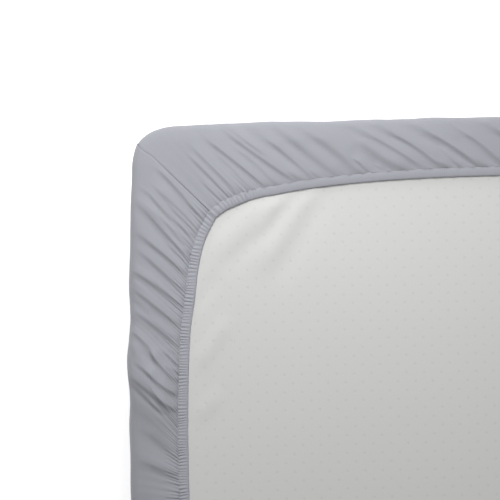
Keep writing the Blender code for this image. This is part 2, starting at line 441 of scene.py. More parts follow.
# %%
EDGE = 0.06  # shares of a crease's width: how round its edge is,
SOFT_EDGE = 0.16  # rounder on the wide ones,
WIDE = 8  # which are wider than this, in mm;
DROP = 0.5  # how far the cloth falls beside it
RETURN = 1.5  # and how far it takes to come back
MOST = 30  # an edge's roundings, past which the cloth falls no further
FADE_IN = 0.18  # shares of a crease's length: it is full from here,
FADE_FROM = 1.04  # and fades from here, sooner if it is wide,
FADE_SOONER = 0.02  # by this for each millimetre,
FADE_OUT = 1.2  # to here


def beside_line(one, two, x, y):
    """How far a point is along a line, as a share of it, and how far beside it. The
    line's ends, one and two, are in millimetres."""
    one, two = np.array(one) * MM, np.array(two) * MM
    length = np.hypot(*(two - one))
    way = (two - one) / length
    x, y = x - one[0], y - one[1]
    return (x * way[0] + y * way[1]) / length, x * way[1] - y * way[0]


def crease_depth(rows, along, inset):
    """How deep the creases press the cloth in at each point."""
    found = np.zeros_like(along)
    for a, a_in, b, b_in, bow, depth, width in rows:
        near = np.abs(along - (a + b) / 2 * MM) < np.hypot(b - a, b_in - a_in) * MM
        share, beside = beside_line((a, a_in), (b, b_in), along[near], inset[near])
        beside = beside - bow * MM * 4 * share * (1 - share)
        fading = smooth(share, FADE_FROM - FADE_SOONER * width, FADE_OUT)
        lower = -beside / (width * MM)
        edge = SOFT_EDGE if width > WIDE else EDGE
        fallen = edge * np.logaddexp(0, np.minimum(lower / edge, MOST))
        drop = (0.5 - np.exp(-fallen / DROP)) * bell(lower / RETURN)
        found[near] += depth * MM * smooth(share, 0, FADE_IN) * (1 - fading) * drop
    return found


# %% [markdown]
# ## Uneven waves, and one loose fold
# Most waves in the cloth are hurried and held back by a slower one, like the gathers.
# A larger, looser fold stands about 300 mm from each corner on the short sides. It leans
# like the creases and runs out over the rim.

# %%
LOOSE_LEAN = 0.8
LOOSE_TALL = (8 * MM, 5 * MM)  # at the corner in the photograph, and at the others
LOOSE_RISE = (235 * MM, 292 * MM)
LOOSE_FALL = (298 * MM, 356 * MM)
LOOSE_IN = (-25 * MM, 25 * MM)


def uneven_wave(x, length, hurried, slower, turned=0):
    """A wave that a slower one hurries. Both lengths are in millimetres."""
    return np.sin(x / (length * MM) + hurried * np.sin(x / (slower * MM) + turned))


def loose_fold(corner, along, inset):
    leant = HALF["short"] - np.abs(along) - LOOSE_LEAN * inset
    tall = np.where((corner == 3) & (along > 0), *LOOSE_TALL)
    shape = smooth(leant, *LOOSE_RISE) * (1 - smooth(leant, *LOOSE_FALL))
    return tall * shape * smooth(inset, *LOOSE_IN)


# %% [markdown]
# ## Upright folds of the sides
# Below the rim the cloth is less tight and has soft upright folds, wide ones with narrow
# ones between. They press inwards only, so the outline stays.

# %%
FOLDS_IN = (-75 * MM, -26 * MM)  # full low on the side, gone at the rim
FOLDS_SLANT = 0.3
FOLDS_SLANT_EVERY = 260 * MM
FOLDS_LEAST = 0.4  # in mm, all over
FOLDS = (  # how deep in mm, how round their edges are, the wave, and where it starts
    (2.2, 0.02, (38, 1.6, 140), 1),
    (0.7, 0.05, (15, 1.8, 67), -1),
)


def wall_folds(corner, along, inset):
    leant = along + FOLDS_SLANT * inset * np.sin(along / FOLDS_SLANT_EVERY + corner)
    pressed = FOLDS_LEAST
    for deep, rounding, wave, way in FOLDS:
        folded = uneven_wave(leant, *wave, way * corner)
        pressed = pressed + deep * np.sqrt(folded**2 + rounding)
    return -MM * pressed * (1 - smooth(inset, *FOLDS_IN))


# %% [markdown]
# ## Ripples from the stitches
# Elastic and needle leave small waves that start at the stitches. The gathers reach up
# to 20 mm over the band, some less. Finer ones come in patches and fade more slowly.

# %%
GATHERS_TALL = 0.7 * MM
GATHERS_REACH = (5, 19)  # from the shortest to the longest, in mm
GATHERS_VARY = (4.7, 2, 13)
GATHERS_END = (13 * MM, 20 * MM)
FINE = (1.15, 1.9, 17)
FINE_TALL = 0.45 * MM
FINE_REACH = 26 * MM
PATCHES = 11 * MM
NEEDLE = 1.6 * MM
NEEDLE_TALL = 0.14 * MM
NEEDLE_REACH = 3 * MM


def ripples(kind, hem, beyond):
    reach = between(*GATHERS_REACH, uneven_wave(hem, *GATHERS_VARY))
    fade = np.exp(-beyond / (reach * MM)) * (1 - smooth(beyond, *GATHERS_END))
    patchy = between(0.1, 1, np.sin(hem / PATCHES))
    fine = patchy * uneven_wave(hem, *FINE) * np.exp(-beyond / FINE_REACH)
    needle = np.sin(hem / NEEDLE) * np.exp(-beyond / NEEDLE_REACH)
    gathered = FINE_TALL * fine + GATHERS_TALL * gathers(kind, hem) * fade
    return gathered * elastic(kind, hem) + NEEDLE_TALL * needle


# %% [markdown]
# ## The corner's seam
# At each corner two edges of the cut cloth are sewn together. The seam is a thin furrow
# from hem to panel, with a small ridge beside it, where its turned edges lie beneath.

# %%
FURROW = 0.7 * MM
FURROW_WIDE = 1.1 * MM
FURROW_HEM = (0.7, 12 * MM)  # how much shallower it is at the stitches, and how far
FURROW_SIDE = 0.3  # its share down the side
FURROW_IN = (-10 * MM, 50 * MM)
RIDGE = 0.2 * MM
RIDGE_WIDE = 1.6 * MM
RIDGE_AT = 2.8 * MM


def seam_furrow(beyond, inset, past_seam):
    shallower, reach = FURROW_HEM
    shown = 1 - shallower * np.exp(-beyond / reach)
    shown = shown * (FURROW_SIDE + (1 - FURROW_SIDE) * smooth(inset, *FURROW_IN))
    ridge = RIDGE * bell((past_seam - RIDGE_AT) / RIDGE_WIDE)
    return shown * (ridge - FURROW * bell(past_seam / FURROW_WIDE))


# %% [markdown]
# ## The cloth's relief
# All of this together is the cloth's height off its plain shape. It also dips to the
# stitches, which hold it flat, and puffs up behind them. Band and sides have their own
# slow waves.

# %%
PRESSED = 3.5 * MM  # the cloth can't sink further, the mattress is there,
SOFT = 0.4 * MM  # and it stops this softly
ON_BAND = (-30 * MM, 20 * MM)  # from side to band, measured in from the side
DIP = 1.1 * MM
DIP_REACH = 2.6 * MM
PUFF = 0.5 * MM
PUFF_REACH = 9 * MM
PUFF_IN = (12 * MM, 40 * MM)
HELD = 3.8 * MM  # the stitches hold the cloth flat to about here,
LESS_HELD = 1.3 * MM  # and less far where the elastic is
BROAD = (6.1, 2.3, 31)
BROAD_TALL = 0.3 * MM
BROAD_FROM = 3 * MM
SIDE_WAVES = ((37 * MM, 60 * MM, 1.1 * MM), (13 * MM, -45 * MM, 0.6 * MM))
LOOSE_HELD = 20 * MM


def relief(kind, corner, hem, along, inset, past_seam):
    """Height at each point. hem: where its column starts. along and inset: its place on
    the cloth laid flat. past_seam: how far its column is from the corner's seam."""
    stitch = hem_point(kind, hem, casing_width(kind, hem))[1]
    beyond = np.maximum(stitch - inset, 0)
    on_band = smooth(inset, *ON_BAND)
    held = 1 - np.exp(-beyond / (HELD - LESS_HELD * elastic(kind, hem)))
    puff = PUFF * (1 - np.exp(-beyond / PUFF_REACH)) * smooth(inset, *PUFF_IN)
    broad = BROAD_TALL * uneven_wave(hem, *BROAD) * (1 - np.exp(-beyond / BROAD_FROM))
    on_side = through(STAND[kind], HALF[kind] - np.abs(along))
    for length, slant, tall in SIDE_WAVES:
        on_side += tall * np.sin(along / length + inset / slant)
    height = puff - DIP * np.exp(-beyond / DIP_REACH)
    height -= crease_depth(side_creases(kind, corner), along, inset) * held
    height += broad * on_band + on_side * (1 - on_band) + ripples(kind, hem, beyond)
    height += wall_folds(corner, along, inset) + seam_furrow(beyond, inset, past_seam)
    if kind == "short":
        height += loose_fold(corner, along, inset) * smooth(beyond, 0, LOOSE_HELD)
    return SOFT * np.logaddexp(0, (height + PRESSED) / SOFT) - PRESSED


# %% [markdown]
# ## Rows of the cloth
# From the stitches outwards the rows cross the band, turn over the upper rim, go down the
# side, turn under the lower rim and end on the resting panel.

# %%
BAND_ROWS = 16
RIM_ROWS = 6
SIDE_ROWS = 11
LOW_ROWS = 3
PANEL_ROWS = 2
RIM_END = BAND_ROWS + RIM_ROWS
SIDE_END = RIM_END + SIDE_ROWS
LOW_END = SIDE_END + LOW_ROWS
ROWS = LOW_END + PANEL_ROWS
PANEL_RING = 18 * MM
FULL = 0.48  # under 1, the cloth turns over the rim more squarely than a plain round
SLIDE = 26 * MM  # past the rim a column soon stops leaning
DRAWN = {"long": -7 * MM, "short": 7 * MM}  # the seam is drawn round the corner's rim,
DRAWN_REACH = 25 * MM  # and the cloth beside it with it;
DRAWN_BACK = 0.4  # just under the rim it goes back past its place by this share
CLOSER = 1.3  # over 1, the rows lie closer together near the stitches
MOST_SLIDE = 0.35  # the most a column slides, as a share of its distance from the seam
FLAT_FROM = SIDE_END - 2  # the row from which the relief dies out


def round_corner(along, radius):
    """A point at that radius about the corner's centre, or straight off the side: how
    far from the corner and how far in."""
    turned = np.maximum(CORNER - along, 0) / CORNER
    return (
        np.maximum(along, CORNER) - radius * np.sin(turned),
        CORNER - radius * np.cos(turned),
    )


def side_surface(kind, turn, corner, hem, edge, row):
    """The places in space of one side's points, and their places on the flat cloth."""
    half = HALF[kind]
    sign = np.where(hem < 0, -1, 1)
    edge_away = half - np.abs(edge)
    start_away, start_in = hem_point(kind, hem, casing_width(kind, hem))
    share = np.clip(row / BAND_ROWS, 0, 1) ** CLOSER

    tilt = np.clip(row - BAND_ROWS, 0, RIM_ROWS) / RIM_ROWS * pi / 2
    down = np.clip(row - RIM_END, 0, SIDE_ROWS) / SIDE_ROWS
    fall = TOP - RIM - LOW_RIM
    under = np.clip(row - SIDE_END, 0, LOW_ROWS) / LOW_ROWS * pi / 2
    panel = np.clip(row - LOW_END, 0, PANEL_ROWS) / PANEL_ROWS * PANEL_RING
    over = np.sin(tilt) ** FULL  # over the rim: how far out, and how far down
    off = 1 - np.cos(tilt) ** FULL
    past_rim = RIM * (over + off) + fall * down

    drawn = DRAWN[kind] * np.exp(-(edge_away - SEAM_EDGE[kind]) / DRAWN_REACH)
    rim_away, rim_in = round_corner(edge_away + drawn, CORNER - RIM)
    lean = (start_away - rim_away) / (start_in - rim_in)
    slide = np.minimum(lean * SLIDE, MOST_SLIDE * (edge_away - SEAM_EDGE[kind]))
    slid = edge_away - slide * (1 - np.exp(-past_rim / SLIDE))
    swing = (1 + DRAWN_BACK) * smooth(past_rim, 0, 2 * RIM) - DRAWN_BACK * smooth(down, 0, 1)

    flat_away = start_away + (edge_away - start_away) * share - (edge_away - slid)
    flat_along = sign * (half - flat_away)
    flat_in = start_in + (RIM - start_in) * share - past_rim
    middle = (start_away + edge_away) / 2
    past_seam = middle - (SEAM[kind] - WIDE_CASING * DIAGONAL + SEAM_EDGE[kind]) / 2
    height = relief(kind, corner, hem, flat_along, flat_in, past_seam)
    height = height * (1 - smooth(row, FLAT_FROM, LOW_END))

    radius = CORNER - RIM * (1 - over) + height * np.sin(tilt)
    radius = radius - LOW_RIM * (1 - np.cos(under)) - panel
    over_away, over_in = round_corner(slid + drawn * (1 - swing), radius)
    on_band = row <= BAND_ROWS
    away = np.where(on_band, start_away + (rim_away - start_away) * share, over_away)
    inset = np.where(on_band, start_in + (rim_in - start_in) * share, over_in)
    z = TOP - RIM * off - fall * down - LOW_RIM * np.sin(under)
    z = z + height * np.cos(tilt)
    z = np.where(row >= LOW_END, 0, z)
    x, y = swollen(*plan(kind, turn, sign * (half - away), inset))
    return np.stack([x, y, z], axis=-1), np.stack([flat_along, flat_in], axis=-1)


def cloth_surface(column, row):
    """Every point of the flat grid, sent to its place on the sheet."""
    places, cloth = np.zeros((len(column), 3)), np.zeros((len(column), 2))
    for kind, turn, corner, mine, at in each_side(column, HEMS):
        numbers = np.arange(len(HEMS[kind]))
        hem, edge = (np.interp(at, numbers, ends[kind]) for ends in (HEMS, EDGES))
        places[mine], cloth[mine] = side_surface(kind, turn, corner, hem, edge, row[mine])
    return places, cloth


# %% [markdown]
# ## Making a piece from a flat grid
# The grid is Blender's own. Where the cloth has fine detail its rows are cut into more
# columns. The last column then meets the first, so the two are merged.

# %%
NEARLY = 0.01  # of a column or row
MERGE = 0.02 * MM


def flat_grid(wide, deep):
    mesh = bmesh.new()
    bmesh.ops.create_grid(mesh, x_segments=wide, y_segments=deep, size=0.5)
    bmesh.ops.translate(mesh, vec=(0.5, 0.5, 0), verts=mesh.verts)
    bmesh.ops.scale(mesh, vec=(wide, deep, 1), verts=mesh.verts)
    return mesh


def cut_columns(mesh, below, cuts, wanted=None):
    """Cuts the rows below that one into more columns, at least the wanted ones."""
    chosen = []
    for edge in mesh.edges:
        one, two = (v.co for v in edge.verts)
        if abs(one.y - two.y) < NEARLY and one.y < below:
            if wanted is None or wanted[int((one.x + two.x) / 2)]:
                chosen.append(edge)
    bmesh.ops.subdivide_edges(mesh, edges=chosen, cuts=cuts)


def put(mesh, places, flat):
    """Moves the grid's points to their places and keeps the flat ones as the UV map."""
    mesh.verts.ensure_lookup_table()
    layer = mesh.loops.layers.uv.new("cloth")
    for face in mesh.faces:
        for loop in face.loops:
            loop[layer].uv = flat[loop.vert.index]
    for vertex, place in zip(mesh.verts, places):
        vertex.co = place


def added(name, data):
    made = bpy.data.objects.new(name, data)
    bpy.context.scene.collection.objects.link(made)
    return made


def finished(mesh, name):
    bmesh.ops.recalc_face_normals(mesh, faces=mesh.faces)
    data = bpy.data.meshes.new(name)
    mesh.to_mesh(data)
    mesh.free()
    data.shade_smooth()
    data.calc_loop_triangles()
    print(name, "triangles", len(data.loop_triangles))
    return added(name, data)


# %% [markdown]
# ## The sheet
# One continuous cloth: panel, sides and band. It is cut finer where it creases, and
# finest where the elastic gathers it.

# %%
GATHERED_ROWS = 8
SHOWS = 0.01  # less gathering than this doesn't show


def elastic_columns():
    """Which columns of the grid start where the elastic gathers the hem."""
    shown = []
    for kind, _, _ in SIDES:
        shown += list(elastic(kind, (HEMS[kind][1:] + HEMS[kind][:-1]) / 2) > SHOWS)
    return shown


def sheet_cloth():
    mesh = flat_grid(ROUND, ROWS)
    cut_columns(mesh, RIM_END - NEARLY, 2)
    cut_columns(mesh, GATHERED_ROWS + NEARLY, 1, elastic_columns())
    mesh.verts.index_update()
    flat = np.array([v.co for v in mesh.verts])
    places, cloth = cloth_surface(flat[:, 0], flat[:, 1])
    ends = [v for v in mesh.verts if v.co.x < NEARLY or v.co.x > ROUND - NEARLY]
    last = {v for v in mesh.verts if v.co.y > ROWS - NEARLY}
    put(mesh, places, cloth)
    bmesh.ops.remove_doubles(mesh, verts=ends, dist=MERGE)
    panel = [e for e in mesh.edges if e.is_boundary and all(v in last for v in e.verts)]
    bmesh.ops.contextual_create(mesh, geom=panel)
    return finished(mesh, "sheet_cloth")


sheet = sheet_cloth()

# %% [markdown]
# ## The hem's casing
# A tube of cloth folded over the elastic and sewn down along its outer edge, which is
# squarer. The elastic ruffles it into small ribs across its width; elsewhere it lies flat
# like any hem. Where the elastic ends, a bar of stitches presses it down.

# %%
CASING_AROUND = 16
CASING_STEP = 0.74 * MM
PLAIN_STEP = 3.2 * MM
CASING_LIFT = 0.1 * MM  # under the casing
CASING_TALL = 3.6  # in millimetres, as are the next two:
TALLER = 0.5  # how much taller it is over the elastic,
RIB_TALL = 0.84  # and how high its ribs stand
OUTER = (0.5, 2.6)  # its outer half: how square it is, and how far out it reaches, in mm
INNER = (0.7, 1.4)
INNER_LOWER = 0.38  # the share by which the inner edge is lower,
LESS_LOWER = 0.08  # and less than that over the elastic,
LOWER_FROM = 0.9  # starting here, between 1 at the outer edge and -1 at the inner one
INNER_RIBS = 0.35 * MM
SLANT, SLANT_EVERY = (-0.3, 1), 6.7 * MM  # of the ribs
PLAIN_WAVE, PLAIN_TALL = (3.1, 2, 19), 0.2 * MM  # past the elastic
BAR, BAR_WIDE = 0.8 * MM, 0.9 * MM


def casing_columns(kind):
    end = HALF[kind] - SEAM[kind]
    if kind == "short":
        return np.linspace(-end, end, round(2 * end / CASING_STEP) + 1)
    stretch = ELASTIC_END + RUN_OUT - SEAM[kind]
    near = np.linspace(-end, -end + stretch, round(stretch / CASING_STEP))
    count = round(-2 * near[-1] / PLAIN_STEP)
    plain = np.linspace(near[-1], -near[-1], count + 1)[1:-1]
    return np.array([*near, *plain, *-near[::-1]])


def casing_shape(kind, hem, at, angle):
    """How far outwards from the hem's line each point of the casing is, and how high."""
    pulled = elastic(kind, hem)
    flat = np.cos(angle)
    outer = flat > 0
    slant = between(*SLANT, np.sin(hem / SLANT_EVERY))
    wave = gathers(kind, hem + flat * slant * MM)
    high = np.maximum(np.sin(angle), 0) ** np.where(outer, OUTER[0], INNER[0])
    width = casing_width(kind, hem)
    outwards = width / 2 + flat * (width / 2 + np.where(outer, OUTER[1], INNER[1]) * MM)
    outwards += INNER_RIBS * wave * pulled * (flat < 0)
    tall = (CASING_TALL + TALLER * pulled + RIB_TALL * wave * pulled) * MM
    tall *= 1 - (INNER_LOWER - LESS_LOWER * pulled) * smooth(-flat, -LOWER_FROM, 1)
    uneven_top = PLAIN_TALL * uneven_wave(hem, *PLAIN_WAVE) * (1 - pulled)
    if kind == "long":
        uneven_top -= BAR * bell((HALF[kind] - np.abs(hem) - ELASTIC_END) / BAR_WIDE)
    z = pad_high.z + CASING_LIFT + tall * high + uneven_top * (high > 0)
    return outwards, z, outwards


# %% [markdown]
# ## Stitches
# A lockstitch runs along the casing's outer edge. It is one thread that comes up, lies on
# the cloth for two millimetres and goes down again, so it is made as one thin tube that
# dips into the cloth between its stitches.

# %%
STITCH_PITCH = 3.1 * MM
STITCH_COLUMNS = 5
STITCH_LOW = 1.9  # the thread's centre between two stitches, in millimetres,
STITCH_RISE = 1.35  # how much higher it lies on top of one,
STITCH_TALLER = 0.3  # and how much higher over the elastic
STITCH_SQUARE = 0.6  # under 1, the thread comes up steeply
THREAD = 0.55 * MM
THREAD_AROUND = 6
THREAD_IN = 1.1 * MM  # from the casing's outer edge to the seam


def thread_columns(kind):
    end = HALF[kind] - SEAM[kind]
    return np.linspace(-end, end, round(2 * end / STITCH_PITCH) * STITCH_COLUMNS + 1)


def thread_shape(kind, hem, at, angle):
    pulled = elastic(kind, hem)
    rise = np.sin(pi * (at % STITCH_COLUMNS) / STITCH_COLUMNS) ** STITCH_SQUARE
    centre = (STITCH_LOW + STITCH_RISE * rise + STITCH_TALLER * pulled) * MM
    beside = THREAD / 2 * np.cos(angle)
    z = pad_high.z + CASING_LIFT + centre + THREAD / 2 * np.sin(angle)
    return casing_width(kind, hem) - THREAD_IN + beside, z, beside


def closed_tube(name, shape, columns_of, around):
    """A tube round the whole hem: its grid is closed both along and around. The shape
    says how far outwards from the hem's line a point is, its height, and how far across
    the flat cloth it is."""
    count = count_round(columns_of)
    mesh = flat_grid(count, around)
    flat = np.array([v.co for v in mesh.verts])
    column, angle = flat[:, 0], flat[:, 1] / around * 2 * pi
    places, cloth = np.zeros((len(flat), 3)), np.zeros((len(flat), 2))
    for kind, turn, _, mine, at in each_side(column, columns_of):
        hem = np.interp(at, np.arange(len(columns_of[kind])), columns_of[kind])
        outwards, z, across = shape(kind, hem, at, angle[mine])
        away, inset = hem_point(kind, hem, outwards)
        along = np.where(hem < 0, -1, 1) * (HALF[kind] - away)
        x, y = swollen(*plan(kind, turn, along, inset))
        places[mine] = np.stack([x, y, z], axis=-1)
        cloth[mine] = np.stack([hem, across], axis=-1)
    to_ends = np.minimum(flat, (count, around, 0) - flat)[:, :2].min(axis=1)
    ends = [v for v, gap in zip(mesh.verts, to_ends) if gap < NEARLY]
    put(mesh, places, cloth)
    bmesh.ops.remove_doubles(mesh, verts=ends, dist=MERGE)
    return finished(mesh, name)


CASING_COLUMNS = {kind: casing_columns(kind) for kind in HALF}
THREAD_COLUMNS = {kind: thread_columns(kind) for kind in HALF}
casing = closed_tube("hem_casing", casing_shape, CASING_COLUMNS, CASING_AROUND)
stitches = closed_tube("hem_stitches", thread_shape, THREAD_COLUMNS, THREAD_AROUND)

# %% [markdown]
# ## The mattress
# A block cut into a fine grid, closer near its edges, so that its cover can wrinkle.
# Rounding works like this: a point in the corner square is drawn in until the square
# becomes a quarter disc. The cover lies a little lower inside the hem, swells behind each
# corner, where the elastic holds it down, and has soft wrinkles there.

# %%
PAD_CORNER = 50 * MM
PAD_EDGE = 18 * MM
PAD_CUTS = (270, 140, 9)  # along, across and up
DENSER = 0.45  # the cuts lie closer together near the edges
SINK = 3.6 * MM  # the cover lies lower inside the hem than under it,
SOFTLY = 8 * MM  # and falls to that over this length
SWOLLEN = 2.6 * MM  # how much higher the cover is behind a corner,
SWOLLEN_AT = 208 * MM  # this far from where the sides would meet
SWOLLEN_SLOPES = (42 * MM, 200 * MM)  # towards the corner, and away from it
SWOLLEN_ACROSS = 120 * MM
SWOLLEN_IN = (0, 20 * MM)  # how far inside the hem it comes and is full
WAVES_IN = (-1 * MM, 14 * MM)
WAVES_SHIFT = 12  # the most a wrinkle moves from one corner to the next, in mm
WAVE_ENDS = ((-0.3, 0.15), (0.7, 1.1))  # shares of its length where it comes and goes
PAD_WAVES = (  # soft wrinkles of the cover: two ends, height and width, in millimetres
    # along and in from the photograph's corner
    (176, 82, 94, 168, 2.7, 14),
    (200, 90, 112, 182, -1.3, 9),
    (194, 78, 146, 142, 2.6, 9),
    (208, 84, 160, 150, -1.6, 9),
    (212, 86, 152, 186, 2.9, 14),
    (234, 96, 172, 196, -1.4, 14),
    (100, 190, 78, 226, -1.6, 8),
    (112, 246, 80, 296, 2.0, 9),
    (104, 330, 78, 356, 1.6, 8),
)


def drawn_in(first, second, radius):
    """Turns the square corner between two distances from the faces into a round one."""
    one, two = np.maximum(radius - first, 0), np.maximum(radius - second, 0)
    both = (one > 0) & (two > 0)
    size = np.hypot(one, two)
    share = np.where(both, np.maximum(one, two) / np.where(size > 0, size, 1), 1)
    return (
        np.where(both, radius - one * share, first),
        np.where(both, radius - two * share, second),
    )


def pad_waves(x, y):
    """The cover's wrinkles at all four corners, at each a little moved."""
    height = np.zeros_like(x)
    comes, goes = WAVE_ENDS
    corners = ((-1, 1), (1, 1), (1, -1), (-1, -1))
    for corner, (right, up) in enumerate(corners):
        along, inset = HALF_LONG - right * x, HALF_SHORT - up * y
        for number, (a, a_in, b, b_in, tall, wide) in enumerate(PAD_WAVES):
            shift = WAVES_SHIFT * uneven(number, corner) * (corner > 0)
            one, two = (a + shift, a_in), (b, b_in + shift)
            share, beside = beside_line(one, two, along, inset)
            shown = smooth(share, *comes) * (1 - smooth(share, *goes))
            height += tall * MM * shown * bell(beside / (wide * MM))
    return height


def fuller_corners(x, y):
    """How much higher the cover is behind each corner."""
    along, inset = HALF_LONG - np.abs(x), HALF_SHORT - np.abs(y)
    behind = (along + inset) * DIAGONAL - SWOLLEN_AT
    slope = np.where(behind < 0, *SWOLLEN_SLOPES)
    across = (along - inset) * DIAGONAL
    return SWOLLEN * bell(behind / slope) * bell(across / SWOLLEN_ACROSS)


def inside_hem(gap_x, gap_y):
    """How far inside the hem's line a point is, from its gaps to the mattress's sides."""
    found = []
    for kind, along, inset in (("long", gap_x, gap_y), ("short", gap_y, gap_x)):
        line, slope = hem_line(kind, along + CLEAR + CLOTH)
        found.append((inset + CLEAR + CLOTH - line) / np.sqrt(1 + slope**2))
    return np.minimum(*found)


def mattress_pad():
    size = np.array(pad_high - pad_low)
    mesh = bmesh.new()
    bmesh.ops.create_cube(mesh, size=1)
    bmesh.ops.translate(mesh, vec=(0.5, 0.5, 0.5), verts=mesh.verts)
    for axis in range(3):
        across = [e for e in mesh.edges if abs((e.verts[0].co - e.verts[1].co)[axis]) > 0.5]
        bmesh.ops.subdivide_edges(mesh, edges=across, cuts=PAD_CUTS[axis], use_grid_fill=True)
    flat = np.array([v.co for v in mesh.verts])
    closer = flat - DENSER * np.sin(2 * pi * flat) / (2 * pi) * (1, 1, 0)
    spot = closer * size
    gap_x, gap_y, gap_z = np.minimum(spot, size - spot).T
    side = np.minimum(gap_x, gap_y)
    pull, gap_z = drawn_in(side, gap_z, PAD_EDGE)
    grown = pull - side
    round_x, round_y = drawn_in(gap_x, gap_y, PAD_CORNER)
    round_x = round_x + grown * (gap_x <= gap_y)
    round_y = round_y + grown * (gap_y < gap_x)
    gaps = np.stack([round_x, round_y, gap_z], axis=-1)
    x, y, z = (np.where(spot < size / 2, gaps, size - gaps) + np.array(pad_low)).T
    inside = inside_hem(gap_x, gap_y)
    sunk = SINK * (1 - np.exp(-np.maximum(inside, 0) / SOFTLY))
    raised = pad_waves(x, y) * smooth(inside, *WAVES_IN)
    raised += fuller_corners(x, y) * smooth(inside, *SWOLLEN_IN)
    z = z + (raised - sunk) * (flat[:, 2] > 1 - NEARLY)
    x, y = swollen(x, y)
    for vertex, place in zip(mesh.verts, np.stack([x, y, z], axis=-1)):
        vertex.co = place
    return finished(mesh, "mattress_pad")


pad = mattress_pad()

# %% [markdown]
# ## Finishes
# Each finish is a small network of nodes. These helpers add a node, join two, and make
# the kinds that more than one finish needs.

# %%
def finish_of(name, colour, inputs):
    made = bpy.data.materials.new(name)
    made.use_nodes = True
    shader = made.node_tree.nodes["Principled BSDF"]
    for socket, value in {"Base Color": (*colour, 1), **inputs}.items():
        shader.inputs[socket].default_value = value
    return made, made.node_tree, shader


def join(tree, value, socket):
    """Sets a socket to a plain value, or links it to another node's output."""
    if isinstance(value, bpy.types.NodeSocket):
        tree.links.new(value, socket)
    else:
        socket.default_value = value


def node(tree, kind, inputs, **settings):
    made = tree.nodes.new(kind)
    for name, value in settings.items():
        setattr(made, name, value)
    for socket, value in inputs.items():
        join(tree, value, made.inputs[socket])
    return made


def times(share, colour):
    return tuple(share * c for c in colour)


def mixed(tree, share, one, two):
    """Mixes two colours. Each is a plain colour or the output of a node."""
    one, two = ((*c, 1) if isinstance(c, tuple) else c for c in (one, two))
    inputs = {"Factor": share, 6: one, 7: two}
    return node(tree, "ShaderNodeMix", inputs, data_type="RGBA").outputs[2]


def cloudy(tree, out, scale, detail=2):
    inputs = {"Vector": out, "Scale": scale, "Detail": detail}
    return node(tree, "ShaderNodeTexNoise", inputs).outputs["Fac"]


def ranged(tree, value, low, high, steps="LINEAR"):
    """0 at low and 1 at high."""
    inputs = {"Value": value, "From Min": low, "From Max": high}
    return node(tree, "ShaderNodeMapRange", inputs, interpolation_type=steps).outputs["Result"]


def bands(tree, out, pitch, direction, distortion=0):
    """Soft stripes across one direction, that far apart."""
    inputs = {"Vector": out, "Scale": pi / 10 / pitch, "Distortion": distortion}
    return node(tree, "ShaderNodeTexWave", inputs, bands_direction=direction).outputs["Fac"]


def bumped(tree, shader, height, strength, distance, before=None):
    """Adds a bump, on top of the one before if there is one."""
    inputs = {"Height": height, "Strength": strength, "Distance": distance}
    if before is not None:
        inputs["Normal"] = before
    normal = node(tree, "ShaderNodeBump", inputs).outputs["Normal"]
    join(tree, normal, shader.inputs["Normal"])
    return normal


# %% [markdown]
# ### Grey cotton
# Fine plain-weave cotton is matt with a faint bloom. The threads are two sets of fine
# ribs, a millimetre apart, that follow the cloth; the dye is very slightly uneven. The
# casing's copy of the cotton is painted a little lighter, as painted light against its
# shading, and has small puckers across it, where its cloth is pushed together.

# %%
RIB = 1 * MM
PUCKER = 2.3 * MM
SHEET_GREY = (0.369, 0.375, 0.413)
DYE_DARK, DYE_LIGHT, DYE_CLOUDS = 0.98, 1.09, 9
SLUB, SLUB_DARK, SLUB_SHOWS = 900, 0.93, (0.3, 0.7)  # slubs are thicker bits of thread
COTTON = {
    "Roughness": 0.82,
    "Sheen Weight": 0.18,
    "Sheen Roughness": 0.6,
    "Specular IOR Level": 0.25,
}


def cotton(name, colour, puckers=0):
    made, tree, shader = finish_of(name, colour, COTTON)
    place = node(tree, "ShaderNodeTexCoord", {})
    cloth = place.outputs["UV"]
    dye = cloudy(tree, place.outputs["Object"], DYE_CLOUDS, detail=4)
    slub = cloudy(tree, cloth, SLUB)
    shade = mixed(tree, dye, times(DYE_DARK, colour), times(DYE_LIGHT, colour))
    shown = ranged(tree, slub, *SLUB_SHOWS)
    shade = mixed(tree, shown, shade, times(SLUB_DARK, colour))
    join(tree, shade, shader.inputs["Base Color"])
    one, two = (bands(tree, cloth, RIB, direction) for direction in "XY")
    weave = node(tree, "ShaderNodeMath", {0: one, 1: two}, operation="MULTIPLY")
    first = bumped(tree, shader, weave.outputs[0], strength=0.25, distance=0.08 * MM)
    second = bumped(tree, shader, slub, strength=0.2, distance=0.2 * MM, before=first)
    if puckers:
        across = bands(tree, cloth, PUCKER, "X", distortion=1.2)
        bumped(tree, shader, across, puckers, distance=0.3 * MM, before=second)
    return made


sheet_cotton = cotton("sheet cotton", SHEET_GREY)
# The casing's cotton is the sheet's grey painted 11% lighter: painted light that brightens the
# casing against its shading.
casing_cotton_painted_lighter = cotton("casing cotton painted lighter", times(1.11, SHEET_GREY), puckers=0.2)
thread_cotton = cotton("thread", times(1.02, SHEET_GREY))

# %% [markdown]
# ### Ticking
# The mattress's cover is an off-white knit. Its pattern is one small dot in each cell,
# the cells standing on their points. The dots are pressed in, so they only show softly.

# %%
DOT_CELL = 21.1 * MM / sqrt(2)
DOT_TURN = radians(45)
DOT_START = (0.64, 0.56, 0)  # where the pattern starts, in cells
DOT_EDGE = (0.19, 0.03)  # where a dot starts and is full, from its middle, in cells
DOT_DARK = 0.94
WALE = 2.2 * MM  # the knit's ribs
TICKING_WHITE = (0.700, 0.700, 0.688)
TICKING_WARM = (0.98, 0.98, 0.97)  # times the white
TICKING_CLOUDS = 6
TICKING = {"Roughness": 0.88, "Sheen Weight": 0.1, "Specular IOR Level": 0.2}


def vector_math(tree, operation, *values):
    inputs = dict(enumerate(values))
    made = node(tree, "ShaderNodeVectorMath", inputs, operation=operation)
    return made.outputs["Value" if operation == "LENGTH" else "Vector"]


